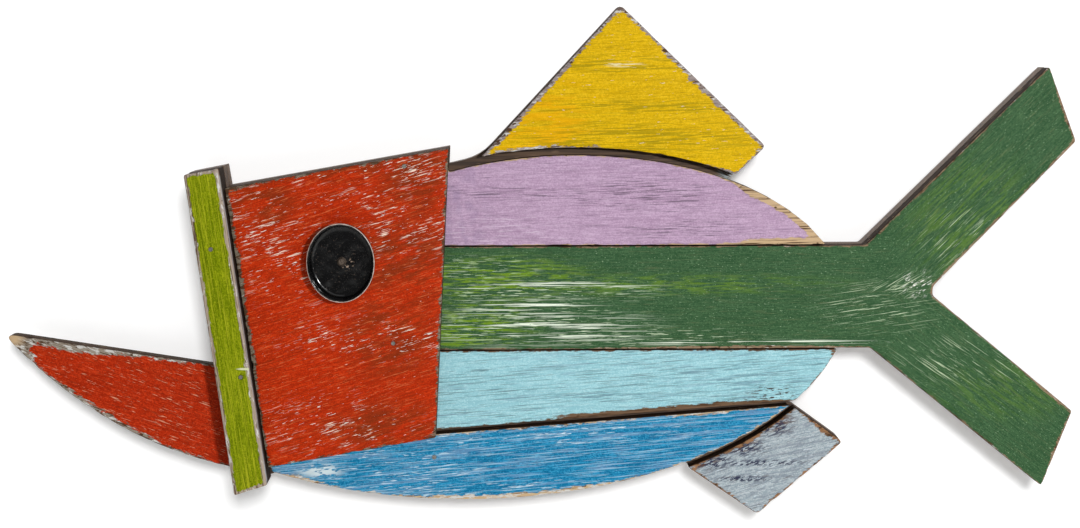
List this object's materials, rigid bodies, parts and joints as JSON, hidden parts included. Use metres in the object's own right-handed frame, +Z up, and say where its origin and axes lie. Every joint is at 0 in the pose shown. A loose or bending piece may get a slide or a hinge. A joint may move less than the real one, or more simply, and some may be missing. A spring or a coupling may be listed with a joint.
{
  "type": "painted wooden fish wall plaque",
  "caption": "Layered wooden fish to hang on a wall: painted boards on a back panel, raised head panel and slat, oval cap eye, ring hangers behind.",
  "frame": {"origin": "on the back panel's rear face, on the centreline of the middle board, near the middle of the fish's length", "axes": "+X from the head to the tail, +Y out of the rear face into the wall, +Z up"},
  "size_m": [0.6516, 0.0438, 0.3114],
  "materials": {
    "stained_panel": "matt dark stain on a sawn panel, edges rubbed",
    "lilac_paint": "thin matt paint over wood, rubbed at the edges",
    "green_paint": "thin matt paint over wood, dry brushed white and lime",
    "aqua_paint": "thin matt paint over wood, grain showing",
    "blue_paint": "thin matt paint over wood, dry brushed white",
    "yellow_paint": "thin matt paint over wood, streaked olive",
    "grey_paint": "worn matt paint over wood",
    "jaw_red_paint": "worn satin paint over wood",
    "head_red_paint": "satin paint over wood, flecked white",
    "lime_paint": "streaked satin paint over wood",
    "eye_black": "black enamel, rim rubbed bright",
    "eye_nail_steel": "dull, darkened",
    "brad_steel": "dull",
    "screw_steel": "zinc plated",
    "plated_steel": "nickel plated",
    "felt": "pressed felt"
  },
  "bodies": {
    "plaque": {"back_panel": "stained_panel", "belly_board": "blue_paint", "belly_brad_1": "brad_steel", "belly_screw_1": "screw_steel", "belly_screw_2": "screw_steel", "belly_screw_3": "screw_steel", "dorsal_fin": "yellow_paint", "dorsal_fin_screw_1": "screw_steel", "dorsal_fin_screw_2": "screw_steel", "eye_cap": "eye_black", "eye_nail": "eye_nail_steel", "gill_slat": "lime_paint", "hanger_screw_head_1": "plated_steel", "hanger_screw_head_2": "plated_steel", "hanger_screw_tail_1": "plated_steel", "hanger_screw_tail_2": "plated_steel", "hanger_strap_head": "plated_steel", "hanger_strap_tail": "plated_steel", "head_brad_1": "brad_steel", "head_brad_2": "brad_steel", "head_panel": "head_red_paint", "jaw_board": "jaw_red_paint", "jaw_screw_1": "screw_steel", "jaw_screw_2": "screw_steel", "lower_body_board": "aqua_paint", "lower_body_screw_1": "screw_steel", "lower_body_screw_2": "screw_steel", "pelvic_fin": "grey_paint", "pelvic_fin_screw_1": "screw_steel", "pelvic_fin_screw_2": "screw_steel", "slat_brad_1": "brad_steel", "slat_brad_2": "brad_steel", "slat_packer": "stained_panel", "tail_board": "green_paint", "tail_screw_1": "screw_steel", "tail_screw_2": "screw_steel", "tail_screw_3": "screw_steel", "tail_screw_4": "screw_steel", "tail_screw_5": "screw_steel", "tail_screw_6": "screw_steel", "upper_body_board": "lilac_paint", "upper_body_screw_1": "screw_steel", "upper_body_screw_2": "screw_steel", "upper_body_screw_3": "screw_steel", "wall_bumper_head": "felt", "wall_bumper_tail": "felt"},
    "ring_head": {"hanger_ring_head": "plated_steel"},
    "ring_tail": {"hanger_ring_tail": "plated_steel"}
  },
  "joints": [
    {"name": "ring_head_swing", "type": "hinge", "parent": "plaque", "child": "ring_head", "pos_m": [-0.1, 0.0031, 0.06195], "axis": [1, 0, 0], "range_deg": [0, 180]},
    {"name": "ring_tail_swing", "type": "hinge", "parent": "plaque", "child": "ring_tail", "pos_m": [0.1, 0.0031, 0.06195], "axis": [1, 0, 0], "range_deg": [0, 180]}
  ]
}
